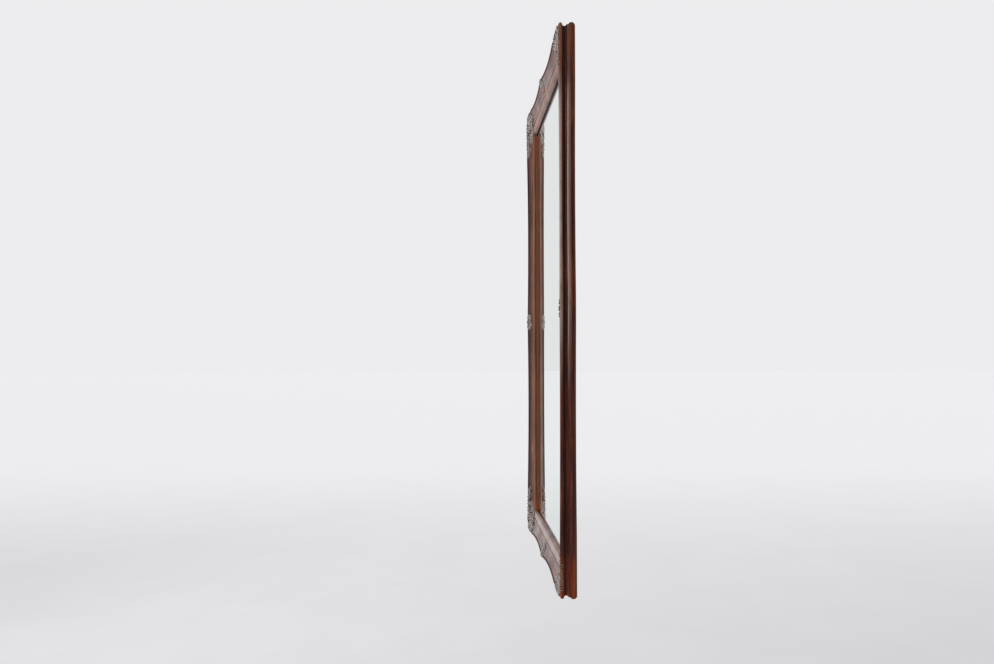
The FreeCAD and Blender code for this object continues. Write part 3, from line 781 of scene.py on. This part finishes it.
def lay_carving(flat, node, place, material):
    """Copies a flat carving, moves each of its points to its place on the moulding and turns its faces
    outwards, as the finished piece of a node."""
    obj = copied(flat, node)
    for vertex in obj.data.vertices:
        vertex.co = place(vertex.co)
    choose(obj)
    bpy.ops.object.mode_set(mode="EDIT")
    bpy.ops.mesh.select_all(action="SELECT")
    bpy.ops.mesh.normals_make_consistent(inside=False)
    bpy.ops.object.mode_set(mode="OBJECT")
    bpy.ops.object.shade_smooth()
    finish_piece(obj, "leaf_" + node, node, "carved_wood", material)


# The pieces, each made or finished by its own operator
class WALLMIRROR_OT_frame_wood(bpy.types.Operator):
    """Polish the two rails and the two stiles, each with its grain along its length"""
    bl_idname = "wall_mirror.frame_wood"
    bl_label = "Polish the Frame"

    def execute(self, context):
        wood, sizes = context.scene.mirror_wood, context.scene.mirror_moulding
        half_width, half_height = CAD_BOX[1][0], CAD_BOX[1][2]
        across = polished_mahogany("polished_mahogany_rails", "X", half_height, half_width, wood, sizes)
        upright = polished_mahogany("polished_mahogany_stiles", "Z", half_width, half_height, wood, sizes)
        dress(across, "top_rail", "bottom_rail")
        dress(upright, "left_stile", "right_stile")
        return {"FINISHED"}


# Plan of one arm of a corner carving, in mm from the mitre's outer corner
# Its leaves: heel, tip, width and sideways bow
ARM_LEAVES = (
    ((21, 13), (18, 1.0), 9, 0.05),
    ((25, 13), (33, -3.5), 12, 0.10),
    ((39, 13.5), (51, -2.5), 12, 0.12),
    ((54, 14), (70, 1.5), 11, 0.12),
    ((69, 14.5), (87, 6.0), 9.5, 0.10),
    ((84, 16), (107, 16.5), 9, 0.0),
    ((72, 17.5), (89, 24.0), 8.5, -0.10),
    ((56, 18), (72, 28.0), 9.5, -0.12),
    ((40, 18.5), (55, 31.0), 10.5, -0.12),
    ((37, 31), (51, 45.5), 11, 0.04),
    ((42, 29), (64, 43.5), 11, -0.06),
    ((48, 27), (71, 36.5), 9.5, -0.10),
)
# The small round cuts over its bead: how many, the first one's place along the arm, their pitch, and how far
# in a cut's heel and its tip lie and how far along the tip leans
EDGE_CUTS, FIRST_CUT, CUT_PITCH = 11, 15, 4.6
CUT_HEEL, CUT_TIP, CUT_LEAN = 3.4, -5, 2.2
# Its rib, from foot to tip
ARM_RIB = ((18, 19), (26, 16.5), (36, 15.2), (48, 15), (60, 15.2), (72, 15.8), (84, 16.4), (96, 16.8))
# Its scroll's centre, and half the width of the scroll's eye
SCROLL_X, SCROLL_Y, EYE = 33, 26.5, 1.7
# The shell on the mitre: its ribs are counted from the middle one, which points to the outer corner. They
# fan out from a heel, each turned from the next, and the outer ones are shorter. A boss lies over the heel
# and a leaf runs in from it, both given by heel, tip and width. All keep their distance from the edge.
SHELL_RIBS, SHELL_HEEL = range(-3, 4), (29, 29)
SHELL_AIM, SHELL_TURN = math.radians(225), math.radians(24)
SHELL_REACH, SHELL_SHORTENING = 31, 1.4
SHELL_BOSS = ((32, 32), (23, 23), 8)
INNER_LEAF = ((31, 31), (49, 49), 7)
SHELL_EDGE = 1.2
# Plan of a middle ornament's right half, in mm from the middle of the outer edge: the leaves, the centre of
# the band round them, how far it reaches across and up and the angles of its points in degrees, and two
# fingers between the halves
MIDDLE_LEAVES = (
    ((6, 10), (21.5, 11.5), 9, 0.04),
    ((5, 9), (16, 3.5), 7.5, 0.08),
    ((5, 13), (17, 22), 8.5, -0.08),
    ((3.5, 17), (7, 30), 7.5, -0.06),
)
BAND_X, BAND_Y, BAND_REACH, BAND_RISE = 1.0, 13.5, 4.2, 11
BAND_ANGLES = range(-80, 81, 10)
MIDDLE_BOSS = ((0, 20), (0, 6), 5)
MIDDLE_TIP = ((0, 8.5), (0, 2.0), 6)
# The middle ornaments' relief as a share of the corners'
MIDDLE_RELIEF = 0.75


class WALLMIRROR_OT_corner_carvings(bpy.types.Operator):
    """Carve the leaves, scrolls and shell of one corner and copy them to all four"""
    bl_idname = "wall_mirror.corner_carvings"
    bl_label = "Carve the Corners"

    def execute(self, context):
        carving, sizes = context.scene.mirror_carving, context.scene.mirror_moulding
        flat = self.carve(Carver(carving.relief, carving.sink), carving)
        low, high = CAD_BOX
        material = waxed_carving("waxed_carved_mahogany", high[0], high[2], context.scene.mirror_wood)
        for upright, up in (("top", 1), ("bottom", -1)):
            for side, out in (("left", -1), ("right", 1)):
                corner_x = high[0] if out > 0 else low[0]
                corner_z = high[2] if up > 0 else low[2]

                def place(spot):
                    along, inwards = max(spot.x, spot.y), min(spot.x, spot.y)
                    inset, height = on_section(inwards, spot.z, sizes, carving, 0)
                    first, second = (along, inset) if spot.x > spot.y else (inset, along)
                    return Vector((corner_x - out * first, high[1] - height, corner_z - up * second))

                lay_carving(flat, f"corner_carving_{upright}_{side}", place, material)
        discard(flat)
        return {"FINISHED"}

    def carve(self, carver, carving):
        """One corner in the flat: an arm of leaves, edge cuts, rib and scroll, its twin, and the shell."""
        for leaf in ARM_LEAVES:
            carver.leaf(*leaf)
        for number in range(EDGE_CUTS):
            along = FIRST_CUT + number * CUT_PITCH
            carver.press((along, CUT_HEEL), (along + CUT_LEAN, CUT_TIP), width=3.6, proud=0.5)
        carver.rope(ARM_RIB, girth=3.6, proud=1.25)
        scroll = scroll_path(
            (SCROLL_X, SCROLL_Y), start_radius=6.6, end_radius=1.9, start_turn=math.radians(200),
            turns=math.radians(-560), steps=34,
        )
        carver.rope(scroll, girth=2.8, proud=1.1)
        carver.press((SCROLL_X - EYE, SCROLL_Y), (SCROLL_X + EYE, SCROLL_Y), width=2 * EYE, proud=1.3)
        carver.mirror()
        arms = len(carver.fingers)
        for number in SHELL_RIBS:
            turn = SHELL_AIM + SHELL_TURN * number
            reach = SHELL_REACH - SHELL_SHORTENING * abs(number)
            tip = [heel + reach * way for heel, way in zip(SHELL_HEEL, (math.cos(turn), math.sin(turn)))]
            carver.press(SHELL_HEEL, tip, width=7.2, proud=1.2)
        carver.press(*SHELL_BOSS, proud=1.9)
        carver.press(*INNER_LEAF)
        for finger in carver.fingers[arms:]:
            for vertex in finger.data.vertices:
                vertex.co.x = max(vertex.co.x, SHELL_EDGE * MM)
                vertex.co.y = max(vertex.co.y, SHELL_EDGE * MM)
        return carver.cut("corner_carving", carving)


class WALLMIRROR_OT_middle_carvings(bpy.types.Operator):
    """Carve the small ornament in the middle of a side and copy it to all four"""
    bl_idname = "wall_mirror.middle_carvings"
    bl_label = "Carve the Middles"

    def execute(self, context):
        carving, sizes = context.scene.mirror_carving, context.scene.mirror_moulding
        flat = self.carve(Carver(carving.relief * MIDDLE_RELIEF, carving.sink), carving)
        low, high = CAD_BOX
        material = bpy.data.materials["waxed_carved_mahogany"]
        for side, axis, out in (("top", 2, 1), ("bottom", 2, -1), ("left", 0, -1), ("right", 0, 1)):

            def place(spot):
                inset, height = on_section(spot.y, spot.z, sizes, carving, sizes.middle_drop)
                point = Vector((spot.x, high[1] - height, spot.x))
                point[axis] = (high if out > 0 else low)[axis] - out * inset
                return point

            lay_carving(flat, f"centre_carving_{side}", place, material)
        discard(flat)
        return {"FINISHED"}

    def carve(self, carver, carving):
        """One ornament in the flat: leaves to both sides, a band round them and two fingers between."""
        for side in (1, -1):
            for heel, tip, width, bow in MIDDLE_LEAVES:
                carver.leaf((heel[0] * side, heel[1]), (tip[0] * side, tip[1]), width, bow * side)
            band = [
                (side * BAND_REACH * math.cos(turn) + side * BAND_X, BAND_Y - BAND_RISE * math.sin(turn))
                for turn in map(math.radians, BAND_ANGLES)
            ]
            carver.rope(band, girth=2.6, proud=1.3)
        carver.press(*MIDDLE_BOSS, proud=1.3)
        carver.press(*MIDDLE_TIP)
        return carver.cut("centre_carving", carving)


class WALLMIRROR_OT_glass(bpy.types.Operator):
    """Grind the glass to size, bevel its arrises and silver its back"""
    bl_idname = "wall_mirror.glass"
    bl_label = "Silver the Glass"

    def execute(self, context):
        fittings = context.scene.mirror_fittings
        low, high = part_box("mirror_glass")
        deselect()
        bpy.ops.mesh.primitive_cube_add(size=1, location=(0, 0, 0))
        obj = bpy.context.object
        bpy.ops.object.mode_set(mode="EDIT")
        bpy.ops.mesh.select_all(action="SELECT")
        bpy.ops.transform.resize(value=high - low)
        bpy.ops.transform.translate(value=(low + high) / 2)
        bpy.ops.mesh.bevel(offset=fittings.glass_arris, segments=2, affect="EDGES")
        bpy.ops.object.mode_set(mode="OBJECT")
        finish_piece(
            obj, "silvered_glass_sheet", "mirror_glass", "silvered_glass", silvered_glass(fittings),
            backing_paint(fittings),
        )
        # The paint covers the back, which faces along Y
        for face in obj.data.polygons:
            face.material_index = 1 if face.normal.y > 0.9 else 0
        return {"FINISHED"}


class WALLMIRROR_OT_backing_board(bpy.types.Operator):
    """Give the board behind the glass its pressed fibre"""
    bl_idname = "wall_mirror.backing_board"
    bl_label = "Fit the Board"

    def execute(self, context):
        dress(pressed_hardboard(context.scene.mirror_fittings), "backing_board")
        return {"FINISHED"}


class WALLMIRROR_OT_turn_buttons(bpy.types.Operator):
    """Give the turn buttons and their screws their satin brass"""
    bl_idname = "wall_mirror.turn_buttons"
    bl_label = "Fit the Turn Buttons"

    def execute(self, context):
        fittings = context.scene.mirror_fittings
        brass = satin_metal("satin_brass", fittings.brass, tarnish="#6f4f24", pitch=4 * MM, roughness=0.3)
        dress(brass, "turn_button_screws", *(f"turn_button_{number}" for number in BUTTONS))
        return {"FINISHED"}


class WALLMIRROR_OT_hangers(bpy.types.Operator):
    """Give the straps, rings and their screws their zinc plating"""
    bl_idname = "wall_mirror.hangers"
    bl_label = "Fit the Hangers"

    def execute(self, context):
        fittings = context.scene.mirror_fittings
        zinc = satin_metal(
            "zinc_plated_steel", fittings.zinc, tarnish="#7d8287", pitch=3 * MM, roughness=0.36,
        )
        straps_and_rings = (f"hanger_{part}_{side}" for part in ("strap", "ring") for side in SIDES)
        dress(zinc, "hanger_screws", *straps_and_rings)
        return {"FINISHED"}


class WALLMIRROR_OT_nails_and_pads(bpy.types.Operator):
    """Give the nails their bare steel and the wall pads their rubber"""
    bl_idname = "wall_mirror.nails_and_pads"
    bl_label = "Fit the Nails and Pads"

    def execute(self, context):
        fittings = context.scene.mirror_fittings
        steel = satin_metal("bare_steel", fittings.steel, tarnish="#4d4238", pitch=2 * MM, roughness=0.42)
        dress(steel, "mitre_v_nails")
        dress(moulded_rubber(fittings), *(f"bumper_{side}" for side in SIDES))
        return {"FINISHED"}


# The lights' places and the lengths of their sides, in metres
KEY_LIGHT = ((-2.2, -2.6, 1.7), 2.4)
WINDOW_LIGHT = ((1.5, -2.6, 0.75), 1.2)


class WALLMIRROR_OT_stage(bpy.types.Operator):
    """Lay the floor, set the lights and stand the camera beside the mirror"""
    bl_idname = "wall_mirror.stage"
    bl_label = "Set the Stage"

    def execute(self, context):
        stage = context.scene.mirror_stage
        deselect()
        bpy.ops.mesh.primitive_plane_add(size=stage.floor_size, location=(0, 0, 0))
        floor = context.object
        floor.name = "floor"
        for vertex in floor.data.vertices:
            vertex.co.z -= stage.floor_drop
        floor.data.materials.append(pale_floor(stage))
        self.light_room(context.scene, stage)
        # The key light is hidden from reflections, so that the polish shows the pale room alone
        key_light = self.add_light("key_light", *KEY_LIGHT, stage.key_power)
        key_light.visible_glossy = False
        self.add_light("window_light", *WINDOW_LIGHT, stage.window_power)
        self.add_camera(context.scene, stage)
        return {"FINISHED"}

    def light_room(self, scene, stage):
        """A pale room: bright at its far left end, less so in front, dim elsewhere, and plain where it is
        seen directly."""
        world = bpy.data.worlds.new("pale_room")
        world.use_nodes = True
        tree = world.node_tree
        tree.nodes.clear()
        direction = add_node(tree, "TexCoord").outputs["Generated"]
        axes = add_node(tree, "SeparateXYZ", links={"Vector": direction})
        light, ahead, along_wall, leftwards = (
            add_node(
                tree, "MapRange",
                {"From Min": start, "From Max": end, "To Min": least, "To Max": most},
                {"Value": axes.outputs[axis]}, interpolation_type="SMOOTHSTEP",
            )
            for axis, start, end, least, most in (
                ("X", 0.3, -0.3, stage.dim_side, stage.left_side),
                ("Y", -0.7, -0.97, 0.0, 1.0),
                ("Y", -0.5, -0.22, 0.0, 1.0),
                ("X", 0.0, -0.4, 0.0, 1.0),
            )
        )
        for part, power in ((ahead, stage.front), (overlap(tree, along_wall, leftwards), stage.far_end)):
            light = add_node(tree, "Mix", {"B": power}, {"Factor": part, "A": light})
        colour = {"Color": opaque(stage.backdrop)}
        room = add_node(tree, "Background", colour, {"Strength": light})
        seen = add_node(tree, "Background", colour)
        ray = add_node(tree, "LightPath").outputs["Is Camera Ray"]
        mix = add_node(tree, "MixShader", links={0: ray, 1: room, 2: seen})
        add_node(tree, "OutputWorld", links={"Surface": mix})
        scene.world = world

    def add_light(self, name, place, size, power):
        """A square soft light that faces the mirror's middle."""
        deselect()
        bpy.ops.object.light_add(type="AREA", location=place)
        light = bpy.context.object
        light.name = name
        light.data.size = size
        light.data.energy = power
        light.rotation_euler = (-Vector(place)).to_track_quat("-Z", "Y").to_euler()
        return light

    def add_camera(self, scene, stage):
        """Beside the mirror, close to the wall's plane, looking along the wall."""
        swing, tilt, lean = stage.camera_swing, stage.camera_tilt, stage.camera_roll
        ahead = Vector((-math.cos(swing), math.sin(swing), 0))
        right = Vector((math.sin(swing), math.cos(swing), 0))
        up = Vector((0, 0, 1))
        ahead, up = ahead * math.cos(tilt) + up * math.sin(tilt), up * math.cos(tilt) - ahead * math.sin(tilt)
        right, up = right * math.cos(lean) + up * math.sin(lean), up * math.cos(lean) - right * math.sin(lean)
        camera = bpy.data.cameras.new("camera")
        obj = linked(bpy.data.objects.new("camera", camera))
        turned = Matrix((right, up, -ahead)).transposed().to_4x4()
        turned.translation = stage.camera_place
        obj.matrix_world = turned
        camera.lens = camera.sensor_width / stage.view_width
        scene.camera = obj


OPERATORS = (
    WALLMIRROR_OT_frame_wood,
    WALLMIRROR_OT_corner_carvings,
    WALLMIRROR_OT_middle_carvings,
    WALLMIRROR_OT_glass,
    WALLMIRROR_OT_backing_board,
    WALLMIRROR_OT_turn_buttons,
    WALLMIRROR_OT_hangers,
    WALLMIRROR_OT_nails_and_pads,
    WALLMIRROR_OT_stage,
)
SETTINGS = {
    "mirror_moulding": MouldingSizes,
    "mirror_carving": CarvingSettings,
    "mirror_wood": WoodSettings,
    "mirror_fittings": FittingSettings,
    "mirror_stage": StageSettings,
}


class WALLMIRROR_PT_panel(bpy.types.Panel):
    """Lists the mirror's pieces in the order they are made"""
    bl_idname = "WALLMIRROR_PT_panel"
    bl_label = "Wall Mirror"
    bl_space_type = "VIEW_3D"
    bl_region_type = "UI"
    bl_category = "Wall Mirror"

    def draw(self, context):
        for operator in OPERATORS:
            self.layout.operator(operator.bl_idname)
        for name in SETTINGS:
            box = self.layout.box()
            settings = getattr(context.scene, name)
            for prop in SETTINGS[name].__annotations__:
                box.prop(settings, prop)


def register():
    for name, group in SETTINGS.items():
        bpy.utils.register_class(group)
        setattr(bpy.types.Scene, name, PointerProperty(type=group))
    for operator in OPERATORS:
        bpy.utils.register_class(operator)
    bpy.utils.register_class(WALLMIRROR_PT_panel)


def unregister():
    bpy.utils.unregister_class(WALLMIRROR_PT_panel)
    for operator in reversed(OPERATORS):
        bpy.utils.unregister_class(operator)
    for name, group in reversed(SETTINGS.items()):
        delattr(bpy.types.Scene, name)
        bpy.utils.unregister_class(group)


def main():
    register()
    bpy.ops.wall_mirror.frame_wood()
    bpy.ops.wall_mirror.corner_carvings()
    bpy.ops.wall_mirror.middle_carvings()
    bpy.ops.wall_mirror.glass()
    bpy.ops.wall_mirror.backing_board()
    bpy.ops.wall_mirror.turn_buttons()
    bpy.ops.wall_mirror.hangers()
    bpy.ops.wall_mirror.nails_and_pads()
    bpy.ops.wall_mirror.stage()
    bpy.context.scene.view_settings.view_transform = "Standard"


if __name__ == "__main__":
    main()
